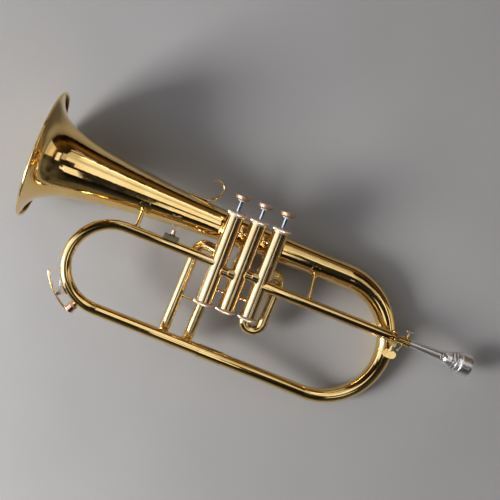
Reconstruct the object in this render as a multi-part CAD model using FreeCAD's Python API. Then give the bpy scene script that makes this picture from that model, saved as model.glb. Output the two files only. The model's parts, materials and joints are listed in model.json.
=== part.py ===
import FreeCAD, Part
import math
import os

# Flugelhorn with three bottom-sprung piston valves, lying on its right side.
#
# Every piece is drawn in a design frame in millimetres: X runs along the bell from the bell mouth
# (-X) to the mouthpiece (+X), Y runs up the valves towards the finger buttons, and Z points to the
# player's left. X = 0 is the second valve, and Y = Z = 0 is the axis of the bell tube. At the end
# one rigid placement lays the horn down, resting on its bell rim and bell bow, with +Z up.

V = FreeCAD.Vector

# ---- attitude on the floor -----------------------------------------------------------------
PITCH = 7.82                   # bell end raised, degrees
ROLL = 9.4                     # button side raised, degrees
ORIGIN_SHIFT = V(-18.01, 41.19, 40.31)     # lowest point at z = 0, box centre at x = y = 0

# ---- bell ----------------------------------------------------------------------------------
RIM_X = -260.2
BELL_END_X = 128.5
RIM_R = 76.2
BEAD_R = 1.5
BELL_WALL = 0.8
BELL_OUTLINE = [               # X along the axis, outer radius
    (-259.6, 74.9), (-257.8, 64.0), (-251.5, 53.8), (-239.5, 44.8), (-222.0, 38.2),
    (-190.0, 32.0), (-140.0, 25.9), (-85.0, 21.1), (-20.0, 18.0), (50.0, 16.2), (128.5, 15.3)]

# ---- bell bow ------------------------------------------------------------------------------
BOW_REACH = 76.5               # half axis of the bow's centre line along X
BOW_HALF_DROP = 74.4           # half axis along Y
BOW_RISE = 22.0                # Z of its small end above its large end
BOW_R = (15.3, -9.6, 2.2)      # outer radius r0 + r1 t + r2 t^2, with t from 0 to 1 along the bow
BOW_WALL = 0.8

# ---- branches and water key bow ------------------------------------------------------------
BRANCH_Z = 32.5                # leadpipe, upper branch and knuckles
BRANCH_Y = -38.9
BRANCH_R = 6.0
LEFT_BOW_X = -139.5
LEFT_BOW_R = 51.0
LEFT_BOW_TUBE = (6.0, 7.15)    # outer radius at its upper and lower end
BRANCH_WALL = 0.7
BOTTOM_R = (7.15, 7.9)         # outer radius of the bottom branch, left and right
SLEEVE_X = (-10.5, 19.0)       # ferrule in the middle of the bottom branch
SLEEVE_R = 8.5
FERRULE_X = -54.6              # ferrule that carries the upper branch into the third valve

# ---- valves --------------------------------------------------------------------------------
PITCH_X = 27.7
VALVE_Z = 30.0
LEAN = 1.6                     # the valve block leans towards the bell, degrees
LEAN_POINT = V(0, -40.0, VALVE_Z)
CASING_R = 9.85
CASING_BORE = 8.45
CASING_TOP = 24.3
CASING_LOW = -89.3
THREAD_R = 9.6
CAP_SPLIT_TOP = 20.3           # lower edge of the top caps
CAP_TOP = 26.0
CAP_SPLIT_LOW = -85.3
CAP_LOW = -91.0
CAP_R = 11.2
LOW_CAP_R = 12.2
PISTON_R = 8.40
PISTON_TOP = 22.2
PISTON_LOW = -69.0
BORE_R = 5.25
PASSAGE_R = 5.0
TRAVEL = 12.6
KEY_WIDTH = 2.8                # guide key on the piston
STEM_R = 2.6
BUTTON_LOW = 39.9
BUTTON_TOP = 46.0
BUTTON_R = 8.9
FELT = 1.0
SPRING_COILS = 8
SPRING_R = 6.2
SPRING_WIRE_R = 0.45
SPRING_WIRE_SIDES = 8

# port heights: air enters on the mouthpiece side and leaves on the bell side
IN_Y = {1: -44.0, 2: BRANCH_Y, 3: -45.2}
OUT_Y = {1: BRANCH_Y, 2: -45.2, 3: BRANCH_Y}

# ---- valve slides --------------------------------------------------------------------------
LEG_Z = 11.0                   # first and third slide legs, behind the casings
LEG_OUT = 6.1                  # outer radius of the fixed legs
LEG_BORE = 5.62
INNER_OUT = 5.57               # outer radius of the sliding legs, 0.05 running clearance
INNER_BORE = 5.1
CROOK_Y = {1: -28.5, 3: -26.3}
BACK_Y = -41.0                 # height of the tight elbow behind the first and third casing
LEG_X = {1: (PITCH_X + 0.9, 51.6), 3: (-25.6, -56.1)}
SLIDE_END_Y = {1: -89.0, 3: -134.0}
SECOND_Y = (-26.5, -48.5)
SECOND_END_Z = -8.0
BOW_RING = 2.6
SLIDE_SEAT = {1: 32.0, 2: 20.0, 3: 62.0}

# ---- leadpipe, tuning shank and mouthpiece ---------------------------------------------------
LEAD_Y = -44.0
LEAD_END_X = 202.6
LEAD_R = (6.9, 6.25)
SHANK_R = 4.65
SHANK_BORE = 4.70
SHANK_START_X = 160.0
RECEIVER_X = 221.2
TAPER_R = (4.27, 3.95)
TAPER_LENGTH = 22.0
COLLAR_X = (197.4, 202.6)
COLLAR_R = 8.0
CLAMP_SCREW_R = 1.6
CLAMP_Z = BRANCH_Z + 10.8
SET_SCREW_X = 217.0            # thumbscrew on the mouthpiece receiver

# ---- lyre box on the upper branch --------------------------------------------------------------
LYRE_X = (-98.0, -80.0)
LYRE_LOW = BRANCH_Y + BRANCH_R - 0.6
LYRE_TOP = LYRE_LOW + 5.4
LYRE_SCREW_X = -89.0

# ---- water key, in radii and angles around the left bow's centre ----------------------------------
KEY_RADIUS = 69.5              # lever, measured from the left bow's centre
KEY_EDGE = 0.7                 # chamfer along the lever
PIVOT_ANGLE = 226.5
PAD_ANGLE = 246.2
THUMB_ANGLE = 204.0
PIVOT_RADIUS = 66.2
CORK_TOP = 63.0                # floor of the pad cup


# ---- general shapes --------------------------------------------------------------------------
def unit(vector):
    result = V(vector)
    result.normalize()
    return result


def rod(start, end, radius):
    span = end - start
    return Part.makeCylinder(radius, span.Length, start, unit(span))


def tube(start, end, outer, inner):
    return rod(start, end, outer).cut(rod(start, end, inner))


def cone_tube(start, end, outer, inner):
    """A straight tapered tube; outer and inner are pairs of radii."""
    span = end - start
    shell = cone(start, end, outer[0], outer[1])
    if abs(inner[0] - inner[1]) < 1e-6:
        return shell.cut(Part.makeCylinder(inner[0], span.Length, start, unit(span)))
    return shell.cut(cone(start, end, inner[0], inner[1]))


def cone(start, end, first, last):
    span = end - start
    return Part.makeCone(first, last, span.Length, start, unit(span))


def ring_face(centre, axis, outer, inner):
    wires = [Part.Wire(Part.makeCircle(outer, centre, axis))]
    if inner > 0:
        wires.append(Part.Wire(Part.makeCircle(inner, centre, axis)))
    face = Part.makeFace(wires, "Part::FaceMakerBullseye")
    return face


def join(pieces):
    result = pieces[0]
    if len(pieces) > 1:
        result = result.multiFuse(pieces[1:])
    result = result.removeSplitter()
    if len(result.Solids) == 1:
        return result.Solids[0]
    return result


def group(pieces):
    """Separate solids of one kind, kept together in one node."""
    return Part.makeCompound(pieces)


def routed_tube(points, radius, outer, inner):
    """A tube along straight runs joined by bends of one centre line radius."""
    pieces = []
    last = points[0]
    for index in range(1, len(points) - 1):
        before = unit(points[index] - points[index - 1])
        after = unit(points[index + 1] - points[index])
        turn = before.getAngle(after)
        setback = radius * math.tan(turn / 2)
        start = points[index] - before * setback
        end = points[index] + after * setback
        if (start - last).Length > 0.01:
            pieces.append(straight(last, start, outer, inner))
        inward = unit(after - before * before.dot(after))
        centre = start + inward * radius
        face = ring_face(start, before, outer, inner)
        pieces.append(face.revolve(centre, before.cross(inward), math.degrees(turn)))
        last = end
    pieces.append(straight(last, points[-1], outer, inner))
    return join(pieces)


def straight(start, end, outer, inner):
    if inner > 0:
        return tube(start, end, outer, inner)
    return rod(start, end, outer)


def lathe(points, start, axis):
    """Turns a closed outline of (distance along the axis, radius) around an axis."""
    side = unit(axis.cross(V(0.123, 0.456, 0.789)))
    corners = [start + unit(axis) * along + side * radius for along, radius in points]
    face = Part.Face(Part.makePolygon(corners + [corners[0]]))
    solid = face.revolve(start, unit(axis), 360)
    return solid


def station(point, heading, across, radius):
    """A circle around a path, with its seam always on the same side."""
    z_axis = unit(heading)
    x_axis = unit(across - z_axis * across.dot(z_axis))
    turn = FreeCAD.Rotation(x_axis, z_axis.cross(x_axis), z_axis, "ZXY")
    circle = Part.makeCircle(radius)
    circle.Placement = FreeCAD.Placement(point, turn)
    return Part.Wire(circle)


def half_bow(centre, reach, up, radius_at, wall, steps):
    """A tapered half turn: from centre + up, out along reach, round to centre - up."""
    across = unit(reach.cross(up))
    outer = []
    inner = []
    for index in range(steps + 1):
        t = index / steps
        angle = math.pi * (0.5 - t)
        point = centre + reach * math.cos(angle) + up * math.sin(angle)
        heading = reach * math.sin(angle) - up * math.cos(angle)
        outer.append(station(point, heading, across, radius_at(t)))
        inner.append(station(point, heading, across, radius_at(t) - wall))
    return Part.makeLoft(outer, True).cut(Part.makeLoft(inner, True))


def lean(shape):
    copy = shape.copy()
    copy.rotate(LEAN_POINT, V(0, 0, 1), LEAN)
    return copy


def valve_x(number):
    """The third valve is nearest the bell."""
    return (2 - number) * PITCH_X


# ---- bell, bell bow and branches ---------------------------------------------------------------
def outline_curve(points):
    curve = Part.BSplineCurve()
    curve.interpolate(points)
    return curve


def bell():
    outer = outline_curve([V(x, r, 0) for x, r in BELL_OUTLINE])
    inner_points = []
    for x, r in BELL_OUTLINE:
        spot = outer.parameter(V(x, r, 0))
        along = unit(outer.tangent(spot)[0])
        inner_points.append(V(x, r, 0) + V(along.y, -along.x, 0) * BELL_WALL)
    inner_points[-1] = V(BELL_END_X, BELL_OUTLINE[-1][1] - BELL_WALL, 0)
    inner = outline_curve(inner_points)
    mouth = Part.LineSegment(outer.StartPoint, inner.StartPoint)
    end = Part.LineSegment(outer.EndPoint, inner.EndPoint)
    wire = Part.Wire([outer.toShape(), end.toShape(), inner.toShape(), mouth.toShape()])
    shell = Part.Face(wire).revolve(V(0, 0, 0), V(1, 0, 0), 360)
    bead = Part.makeTorus(RIM_R - BEAD_R, BEAD_R, V(RIM_X + BEAD_R, 0, 0), V(1, 0, 0))
    return join([shell, bead])


def bow_end():
    """Centre of the bell bow's small end."""
    return V(BELL_END_X, -2 * BOW_HALF_DROP, BOW_RISE)


def bell_bow():
    half = V(0, BOW_HALF_DROP, -BOW_RISE / 2)
    centre = V(BELL_END_X, -BOW_HALF_DROP, BOW_RISE / 2)

    def radius_at(t):
        return BOW_R[0] + BOW_R[1] * t + BOW_R[2] * t * t
    return half_bow(centre, V(BOW_REACH, 0, 0), half, radius_at, BOW_WALL, 14)


def left_bow_centre():
    return V(LEFT_BOW_X, BRANCH_Y - LEFT_BOW_R, BRANCH_Z)


def water_key_bow():
    first, last = LEFT_BOW_TUBE

    def radius_at(t):
        return first + (last - first) * t
    reach = V(-LEFT_BOW_R, 0, 0)
    return half_bow(left_bow_centre(), reach, V(0, LEFT_BOW_R, 0), radius_at, BRANCH_WALL, 14)


def bottom_start():
    return V(LEFT_BOW_X, BRANCH_Y - 2 * LEFT_BOW_R, BRANCH_Z)


def bottom_branch():
    start = bottom_start()
    inner = (BOTTOM_R[0] - BRANCH_WALL, BOTTOM_R[1] - BRANCH_WALL)
    return cone_tube(start, bow_end(), BOTTOM_R, inner)


def along_bottom(x):
    start = bottom_start()
    end = bow_end()
    return start + (end - start) * ((x - start.x) / (end.x - start.x))


def bottom_branch_sleeve():
    start = along_bottom(SLEEVE_X[0])
    end = along_bottom(SLEEVE_X[1])
    heading = unit(end - start)
    body = rod(start, end, SLEEVE_R - 0.3)
    rims = [rod(start, start + heading * 1.6, SLEEVE_R), rod(end - heading * 1.6, end, SLEEVE_R)]
    share = (SLEEVE_X[0] - LEFT_BOW_X) / (BELL_END_X - LEFT_BOW_X)
    end_share = (SLEEVE_X[1] - LEFT_BOW_X) / (BELL_END_X - LEFT_BOW_X)
    grow = BOTTOM_R[1] - BOTTOM_R[0]
    hole = cone(start, end, BOTTOM_R[0] + grow * share, BOTTOM_R[0] + grow * end_share)
    return join([body] + rims).cut(hole)


def casing_solid(number):
    """The full outer cylinder of a casing, used to fit tubes against it."""
    x = valve_x(number)
    return lean(rod(V(x, CASING_LOW, VALVE_Z), V(x, CASING_TOP, VALVE_Z), CASING_R))


def to_casing(shape, number):
    """Trims a tube that runs into a casing so that its end hugs the casing wall."""
    trimmed = shape.cut(casing_solid(number))
    return max(trimmed.Solids, key=lambda solid: solid.Volume)


def upper_branch():
    start = V(LEFT_BOW_X, BRANCH_Y, BRANCH_Z)
    return tube(start, V(FERRULE_X, BRANCH_Y, BRANCH_Z), BRANCH_R, BORE_R)


def third_valve_ferrule():
    start = V(FERRULE_X, BRANCH_Y, BRANCH_Z)
    end = V(valve_x(3), BRANCH_Y, BRANCH_Z)
    body = tube(start, end, BRANCH_R + 0.2, BORE_R)
    edge = tube(start, start + V(1.0, 0, 0), BRANCH_R + 0.5, BORE_R)
    return to_casing(join([body, edge]), 3)


# ---- valve block -------------------------------------------------------------------------------
def slide_direction(number):
    """Horizontal direction from a casing's axis to its crook, in X and Z."""
    leg = V(LEG_X[number][1], 0, LEG_Z)
    return unit(leg - V(valve_x(number), 0, VALVE_Z))


def slide_ports(number):
    """Port centres on the casing's axis and their directions for the valve's slide."""
    x = valve_x(number)
    if number == 2:
        return [(V(x, y, VALVE_Z), V(0, 0, -1)) for y in SECOND_Y]
    crook = (V(x, CROOK_Y[number], VALVE_Z), slide_direction(number))
    back_x = LEG_X[number][0] - x
    back = (V(x, BACK_Y, VALVE_Z), unit(V(back_x, 0, LEG_Z - VALVE_Z)))
    return [crook, back]


def main_ports(number):
    x = valve_x(number)
    return [(V(x, IN_Y[number], BRANCH_Z), V(1, 0, 0)), (V(x, OUT_Y[number], BRANCH_Z), V(-1, 0, 0))]


def port_drills(number, radius, shift):
    drills = []
    for centre, direction in slide_ports(number) + main_ports(number):
        start = centre + V(0, shift, 0)
        drills.append(rod(start, start + direction * 16, radius))
    return drills


def valve_casing(number):
    x = valve_x(number)
    low = V(x, CASING_LOW, VALVE_Z)
    top = V(x, CASING_TOP, VALVE_Z)
    body = rod(V(x, CAP_SPLIT_LOW, VALVE_Z), V(x, CAP_SPLIT_TOP, VALVE_Z), CASING_R)
    threads = rod(low, top, THREAD_R)
    shell = join([body, threads]).cut(rod(low, top, CASING_BORE))
    groove = Part.makeBox(KEY_WIDTH + 0.2, 34, 1.9, V(x - KEY_WIDTH / 2 - 0.1, -9.0, VALVE_Z - 9.45))
    shell = shell.cut(groove)
    for drill in port_drills(number, BORE_R, 0):
        shell = shell.cut(drill)
    return lean(shell)


def passage(start, end, middle):
    """One windway through a piston, bent at its middle point."""
    first = rod(start + unit(start - middle) * 3, middle, PASSAGE_R)
    second = rod(middle, end + unit(end - middle) * 3, PASSAGE_R)
    elbow = Part.makeSphere(PASSAGE_R, middle)
    return [first, second, elbow]


def piston(number):
    x = valve_x(number)
    axis_low = V(x, PISTON_LOW, VALVE_Z)
    body = rod(axis_low, V(x, PISTON_TOP, VALVE_Z), PISTON_R)
    body = body.cut(rod(axis_low, V(x, PISTON_LOW + 12, VALVE_Z), 7.3))
    body = body.cut(rod(V(x, -4.0, VALVE_Z), V(x, PISTON_TOP, VALVE_Z), 7.2))
    mains = [(V(x, IN_Y[number], VALVE_Z), V(1, 0, 0)), (V(x, OUT_Y[number], VALVE_Z), V(-1, 0, 0))]
    ends = [centre + direction * PISTON_R for centre, direction in mains]
    cuts = passage(ends[0], ends[1], (ends[0] + ends[1]) * 0.5)
    slides = [centre + direction * PISTON_R for centre, direction in slide_ports(number)]
    up = V(0, TRAVEL, 0)
    pairs = [(ends[0], slides[1]), (slides[0], ends[1])]
    if number == 1:
        pairs = [(ends[0], slides[0]), (slides[1], ends[1])]
    if number == 2:
        pairs = [(ends[0], slides[0]), (slides[1], ends[1])]
    for first, second in pairs:
        axis = V(x, (first.y + second.y) / 2, VALVE_Z)
        chord = (first + second) * 0.5
        middle = axis + (chord - axis) * 0.9
        cuts += passage(first + up, second + up, middle + up)
    for cut in cuts:
        body = body.cut(cut)
    key = Part.makeBox(KEY_WIDTH, 3.0, 1.6, V(x - KEY_WIDTH / 2, 8.0, VALVE_Z - 9.2))
    body = join([body, key.cut(rod(V(x, 0, VALVE_Z), V(x, 20, VALVE_Z), 7.6))])
    return lean(max(body.Solids, key=lambda solid: solid.Volume))


def top_cap(number):
    base = V(valve_x(number), 0, VALVE_Z)
    outline = [
        (CAP_SPLIT_TOP, THREAD_R + 0.03), (CAP_SPLIT_TOP, CAP_R - 1.1), (CAP_SPLIT_TOP + 0.3, CAP_R - 0.8),
        (22.2, CAP_R - 0.8), (22.6, CAP_R - 0.2), (23.0, CAP_R), (25.0, CAP_R), (25.4, CAP_R - 0.4),
        (25.5, 9.4), (CAP_TOP - 0.1, 8.8), (CAP_TOP, 8.2), (CAP_TOP, 3.9),
        (CAP_TOP - 0.5, STEM_R + 0.3), (24.4, STEM_R + 0.3), (24.4, THREAD_R + 0.03)]
    return lean(lathe(outline, base, V(0, 1, 0)))


def bottom_cap(number):
    base = V(valve_x(number), 0, VALVE_Z)
    outline = [
        (CAP_SPLIT_LOW, THREAD_R + 0.03), (CAP_SPLIT_LOW, 10.5), (-86.2, 11.6), (-87.3, LOW_CAP_R),
        (-88.4, LOW_CAP_R), (-89.4, 10.8), (-90.4, 8.5), (CAP_LOW, 6.0), (CAP_LOW, 1.5),
        (CASING_LOW - 0.1, 1.5), (CASING_LOW - 0.1, THREAD_R + 0.03)]
    return lean(lathe(outline, base, V(0, 1, 0)))


def valve_stem(number):
    base = V(valve_x(number), 0, VALVE_Z)
    outline = [
        (19.4, 0), (19.4, 7.15), (PISTON_TOP, 7.15), (PISTON_TOP, STEM_R), (BUTTON_LOW + 2.0, STEM_R),
        (BUTTON_LOW + 2.0, 0)]
    return lean(lathe(outline, base, V(0, 1, 0)))


def finger_button(number):
    base = V(valve_x(number), 0, VALVE_Z)
    outline = [
        (BUTTON_LOW, STEM_R), (BUTTON_LOW, 4.4), (40.6, 6.6), (41.8, 8.4), (43.0, BUTTON_R),
        (45.2, BUTTON_R), (45.8, 8.5), (BUTTON_TOP, 7.9), (45.7, 7.4), (45.2, 4.0),
        (45.0, 0), (BUTTON_LOW + 2.1, 0), (BUTTON_LOW + 2.1, STEM_R)]
    return lean(lathe(outline, base, V(0, 1, 0)))


def button_felt(number):
    x = valve_x(number)
    start = V(x, BUTTON_LOW - FELT, VALVE_Z)
    return lean(tube(start, V(x, BUTTON_LOW, VALVE_Z), 4.6, STEM_R))


def cap_felt(number):
    x = valve_x(number)
    start = V(x, PISTON_TOP + 0.1, VALVE_Z)
    return lean(tube(start, V(x, CASING_TOP, VALVE_Z), 6.5, STEM_R + 0.3))


def valve_spring(number):
    """Coil of tilted half turns, each of which rises by half the pitch."""
    x = valve_x(number)
    low = CASING_LOW + SPRING_WIRE_R + 0.1
    high = PISTON_LOW + 12 - SPRING_WIRE_R - 0.1
    rise = (high - low) / (2 * SPRING_COILS)
    turns = []
    spot = V(SPRING_R, 0, 0)
    side = 1
    for index in range(2 * SPRING_COILS):
        middle = V(0, (index + 0.5) * rise, -side * SPRING_R)
        end = V(-side * SPRING_R, (index + 1) * rise, 0)
        turns.append(Part.Arc(spot, middle, end).toShape())
        spot = end
        side = -side
    angles = [2 * math.pi * index / SPRING_WIRE_SIDES for index in range(SPRING_WIRE_SIDES)]
    corners = [
        V(SPRING_R + SPRING_WIRE_R * math.cos(angle), SPRING_WIRE_R * math.sin(angle), 0)
        for angle in angles]
    profile = Part.makePolygon(corners + [corners[0]])
    coil = Part.Wire(turns).makePipeShell([profile], True, False)
    coil.translate(V(x, low, VALVE_Z))
    return lean(coil)


def knuckle(left, right, y):
    """Short tube between two casings, flared where it meets them."""
    start = V(valve_x(left), y, BRANCH_Z)
    end = V(valve_x(right), y, BRANCH_Z)
    body = rod(start, end, BORE_R + 0.7)
    gap = valve_x(right) - valve_x(left)
    edge = (gap - 2 * CASING_R) / 2
    middle = (start + end) * 0.5
    flares = []
    for side in (-1, 1):
        inner = middle + V(side * (edge - 3.2), 0, 0)
        flares.append(cone(inner, inner + V(side * 7.0, 0, 0), BORE_R + 0.7, BORE_R + 1.9))
    solid = join([body] + flares)
    solid = solid.cut(casing_solid(left)).cut(casing_solid(right)).cut(rod(start, end, BORE_R))
    return max(solid.Solids, key=lambda piece: piece.Volume)


def casing_spools():
    spools = []
    for number in (2, 1):
        left = valve_x(number + 1)
        right = valve_x(number)
        middle = (left + right) / 2
        half = PITCH_X / 2 - CASING_R + 0.6
        for y in (4.0, -68.2):
            outline = [
                (-half, 0), (-half, 2.5), (-half + 1.4, 2.2), (-1.3, 1.0), (-0.6, 1.5), (0.6, 1.5),
                (1.3, 1.0), (half - 1.4, 2.2), (half, 2.5), (half, 0)]
            spool = lean(lathe(outline, V(middle, y, VALVE_Z), V(1, 0, 0)))
            spool = spool.cut(casing_solid(number)).cut(casing_solid(number + 1))
            spools.append(spool.Solids[0])
    return group(spools)


def bell_saddles():
    """Blocks that hold the first and third casing on the bell tube."""
    saddles = []
    skin = rod(V(-60, 0, 0), V(60, 0, 0), 15.0)
    for number in (1, 3):
        x = valve_x(number)
        block = Part.makeBox(9, 17, 12, V(x - 4.5, -8.5, 13.0))
        block = block.cut(casing_solid(number)).cut(BELL_FILLED).cut(skin)
        saddles.append(max(block.Solids, key=lambda piece: piece.Volume))
    return group(saddles)


def filled_bell():
    """The bell's outside as a full solid, for trimming what is soldered to it."""
    outer = outline_curve([V(x, r, 0) for x, r in BELL_OUTLINE])
    corners = [V(BELL_END_X, 0, 0), V(BELL_OUTLINE[0][0], 0, 0)]
    lines = [
        Part.LineSegment(outer.EndPoint, corners[0]), Part.LineSegment(corners[0], corners[1]),
        Part.LineSegment(corners[1], outer.StartPoint)]
    wire = Part.Wire([outer.toShape()] + [line.toShape() for line in lines])
    return Part.Face(wire).revolve(V(0, 0, 0), V(1, 0, 0), 360)


# ---- valve slides ---------------------------------------------------------------------------------
def band(start, end, inner, extra):
    return tube(start, end, inner + extra, inner - 0.2)


def slide_outer(number):
    """Fixed legs of the first or third slide, with the crook and the tight back elbow."""
    x = valve_x(number)
    back_x, crook_x = LEG_X[number]
    end_y = SLIDE_END_Y[number]
    crook_port = V(x, CROOK_Y[number], VALVE_Z)
    crook_corner = V(crook_x, CROOK_Y[number], LEG_Z)
    crook_leg_end = V(crook_x, end_y, LEG_Z)
    back_port = V(x, BACK_Y, VALVE_Z)
    back_corner = V(back_x, BACK_Y, LEG_Z)
    back_leg_end = V(back_x, end_y, LEG_Z)
    legs = []
    for route, bend in (([crook_port, crook_corner, crook_leg_end], 13.0),
                        ([back_port, back_corner, back_leg_end], 8.2)):
        leg = routed_tube(route, bend, LEG_OUT, LEG_BORE)
        leg = leg.cut(casing_solid(number))
        leg = max(leg.Solids, key=lambda piece: piece.Volume)
        corner = route[1]
        bands = [
            band(V(corner.x, end_y, LEG_Z), V(corner.x, end_y + BOW_RING, LEG_Z), LEG_OUT, 0.7),
            band(V(corner.x, -57.5, LEG_Z), V(corner.x, -56.0, LEG_Z), LEG_OUT, 0.35)]
        if number == 3:
            wide = V(corner.x, end_y + 0.5, LEG_Z)
            bands.append(band(wide, V(corner.x, -103.0, LEG_Z), LEG_OUT, 0.35))
        legs.append(join([leg] + bands))
    return group(legs)


def slide_inner(number):
    """Sliding legs of the first or third slide."""
    end_y = SLIDE_END_Y[number]
    legs = []
    for x in LEG_X[number]:
        start = V(x, end_y - BOW_RING, LEG_Z)
        legs.append(tube(start, V(x, end_y + SLIDE_SEAT[number], LEG_Z), INNER_OUT, INNER_BORE))
    return group(legs)


def slide_bow(number):
    """The U bow with its two rings, which stop against the fixed legs."""
    first_x, last_x = LEG_X[number]
    y = SLIDE_END_Y[number] - BOW_RING
    radius = abs(last_x - first_x) / 2
    start = V(first_x, y, LEG_Z)
    toward = V(last_x - first_x, 0, 0)
    return u_bow(start, V(0, -1, 0), unit(toward), radius)


def u_bow(start, heading, toward, radius):
    """A half turn whose ends carry stop rings facing the fixed legs."""
    face = ring_face(start, heading, LEG_OUT, INNER_BORE)
    bend = face.revolve(start + toward * radius, heading.cross(toward), 180)
    pieces = [bend]
    for end in (start, start + toward * (2 * radius)):
        ring = tube(end - heading * (BOW_RING - 0.15), end, LEG_OUT + 0.7, INNER_OUT)
        pieces.append(ring)
    return join(pieces)


def second_slide_outer():
    x = valve_x(2)
    legs = []
    for y in SECOND_Y:
        start = V(x, y, VALVE_Z)
        end = V(x, y, SECOND_END_Z)
        leg = tube(start, end, LEG_OUT, LEG_BORE).cut(casing_solid(2))
        leg = max(leg.Solids, key=lambda piece: piece.Volume)
        ring = band(end, V(x, y, SECOND_END_Z + BOW_RING), LEG_OUT, 0.7)
        legs.append(join([leg, ring]))
    return group(legs)


def second_slide_inner():
    x = valve_x(2)
    legs = []
    for y in SECOND_Y:
        start = V(x, y, SECOND_END_Z - BOW_RING)
        legs.append(tube(start, V(x, y, SECOND_END_Z + SLIDE_SEAT[2]), INNER_OUT, INNER_BORE))
    return group(legs)


def second_slide_bow():
    x = valve_x(2)
    start = V(x, SECOND_Y[0], SECOND_END_Z - BOW_RING)
    radius = (SECOND_Y[0] - SECOND_Y[1]) / 2
    return u_bow(start, V(0, 0, -1), V(0, -1, 0), radius)


def slide_brace():
    """Rod between the fixed legs of the third slide."""
    right_x, left_x = LEG_X[3]
    y = -93.8
    bar = rod(V(left_x, y, LEG_Z), V(right_x, y, LEG_Z), 1.4)
    feet = [rod(V(left_x, y, LEG_Z), V(left_x + LEG_OUT + 1.0, y, LEG_Z), 3.0),
            rod(V(right_x - LEG_OUT - 1.0, y, LEG_Z), V(right_x, y, LEG_Z), 3.0)]
    solid = join([bar] + feet)
    for x in LEG_X[3]:
        solid = solid.cut(rod(V(x, y - 10, LEG_Z), V(x, y + 10, LEG_Z), LEG_OUT))
    return max(solid.Solids, key=lambda piece: piece.Volume)


# ---- braces, hook and lyre box -------------------------------------------------------------------
def foot_plate(centre, outward, along, length, width, thickness):
    """A flat oval foot, later trimmed to the tube that it is soldered on."""
    across = unit(along.cross(outward))
    plate = Part.makeCylinder(width / 2, thickness, V(0, 0, 0), V(0, 0, 1))
    stretch = FreeCAD.Matrix()
    stretch.scale(length / width, 1, 1)
    plate = plate.transformGeometry(stretch)
    turn = FreeCAD.Rotation(unit(along), across, unit(outward), "ZXY")
    plate.Placement = FreeCAD.Placement(centre, turn)
    return plate


def bell_radius_at(x):
    for (x0, r0), (x1, r1) in zip(BELL_OUTLINE, BELL_OUTLINE[1:]):
        if x0 <= x <= x1:
            return r0 + (r1 - r0) * (x - x0) / (x1 - x0)
    return BELL_OUTLINE[-1][1]


def bell_brace(bell_x, angle, pipe_point, pipe_radius, rod_radius, foot):
    """Rod from the bell to a tube, with an oval foot bent round the bell and a small one on the tube."""
    outward = V(0, -math.sin(math.radians(angle)), math.cos(math.radians(angle)))
    root = V(bell_x, 0, 0) + outward * bell_radius_at(bell_x)
    bar = rod(root - outward * 1.0, pipe_point, rod_radius)
    around = rod(V(bell_x - 15, 0, 0), V(bell_x + 15, 0, 0), bell_radius_at(bell_x) + 1.3)
    blank = foot_plate(root - outward * 6, outward, V(1, 0, 0), foot[0], foot[1], 12)
    collar = rod(root - outward * 1.0, root + unit(pipe_point - root) * 3.0, rod_radius + 1.0)
    pipe_foot = rod(pipe_point, pipe_point + unit(root - pipe_point) * (pipe_radius + 1.2),
                    rod_radius + 1.3)
    solid = join([bar, blank.common(around), collar, pipe_foot]).cut(BELL_FILLED)
    pipe = rod(pipe_point - V(25, 0, 0), pipe_point + V(25, 0, 0), pipe_radius)
    solid = solid.cut(pipe)
    return max(solid.Solids, key=lambda piece: piece.Volume)


def bell_to_branch_brace():
    end = V(-129.8, BRANCH_Y, BRANCH_Z)
    return bell_brace(-129.7, 29.0, end, BRANCH_R, 2.4, (16.0, 19.0))


def bell_to_leadpipe_brace():
    share = (88.0 - valve_x(1)) / (LEAD_END_X - valve_x(1))
    radius = LEAD_R[0] + (LEAD_R[1] - LEAD_R[0]) * share
    end = V(88.0, LEAD_Y, BRANCH_Z)
    return bell_brace(85.5, 31.0, end, radius + 0.05, 2.2, (13.0, 15.0))


def strap_section(half, width, edge):
    """Corners of a strap's section, as (across its thickness, across its width). Edge is its chamfer."""
    if edge == 0:
        return [(-half, -width), (half, -width), (half, width), (-half, width)]
    flat = half - edge
    side = width - edge
    return [
        (-flat, -width), (flat, -width), (half, -side), (half, side),
        (flat, width), (-flat, width), (-half, side), (-half, -side)]


def finger_hook():
    """Little finger hook on top of the bell tube: a flat strap that curls back."""
    base_y = bell_radius_at(-75.0)
    path = outline_curve([
        V(-71.0, base_y + 0.9, 0), V(-64.6, base_y + 1.2, 0), V(-56.0, base_y + 7.5, 0),
        V(-51.6, base_y + 15.0, 0), V(-51.4, base_y + 21.5, 0), V(-55.9, base_y + 26.5, 0),
        V(-61.4, base_y + 27.4, 0), V(-65.9, base_y + 25.0, 0)])
    sections = []
    steps = 14
    for index in range(steps + 1):
        t = index / steps
        spot = path.FirstParameter + (path.LastParameter - path.FirstParameter) * t
        point = path.value(spot)
        heading = path.tangent(spot)[0]
        width = 4.2 - 1.4 * t
        half = 1.3 - 0.5 * t
        side = unit(V(0, 0, 1).cross(heading))
        corners = [point + side * a + V(0, 0, b) for a, b in strap_section(half, width, half * 0.6)]
        sections.append(Part.makePolygon(corners + [corners[0]]))
    curl = Part.makeLoft(sections, True, False)
    blank = Part.makeBox(22, 6, 8.4, V(-86.0, base_y - 4, -4.2))
    around = rod(V(-90, 0, 0), V(-60, 0, 0), base_y + 2.0)
    base = blank.common(around)
    return max(join([curl, base]).cut(BELL_FILLED).Solids, key=lambda piece: piece.Volume)


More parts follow.
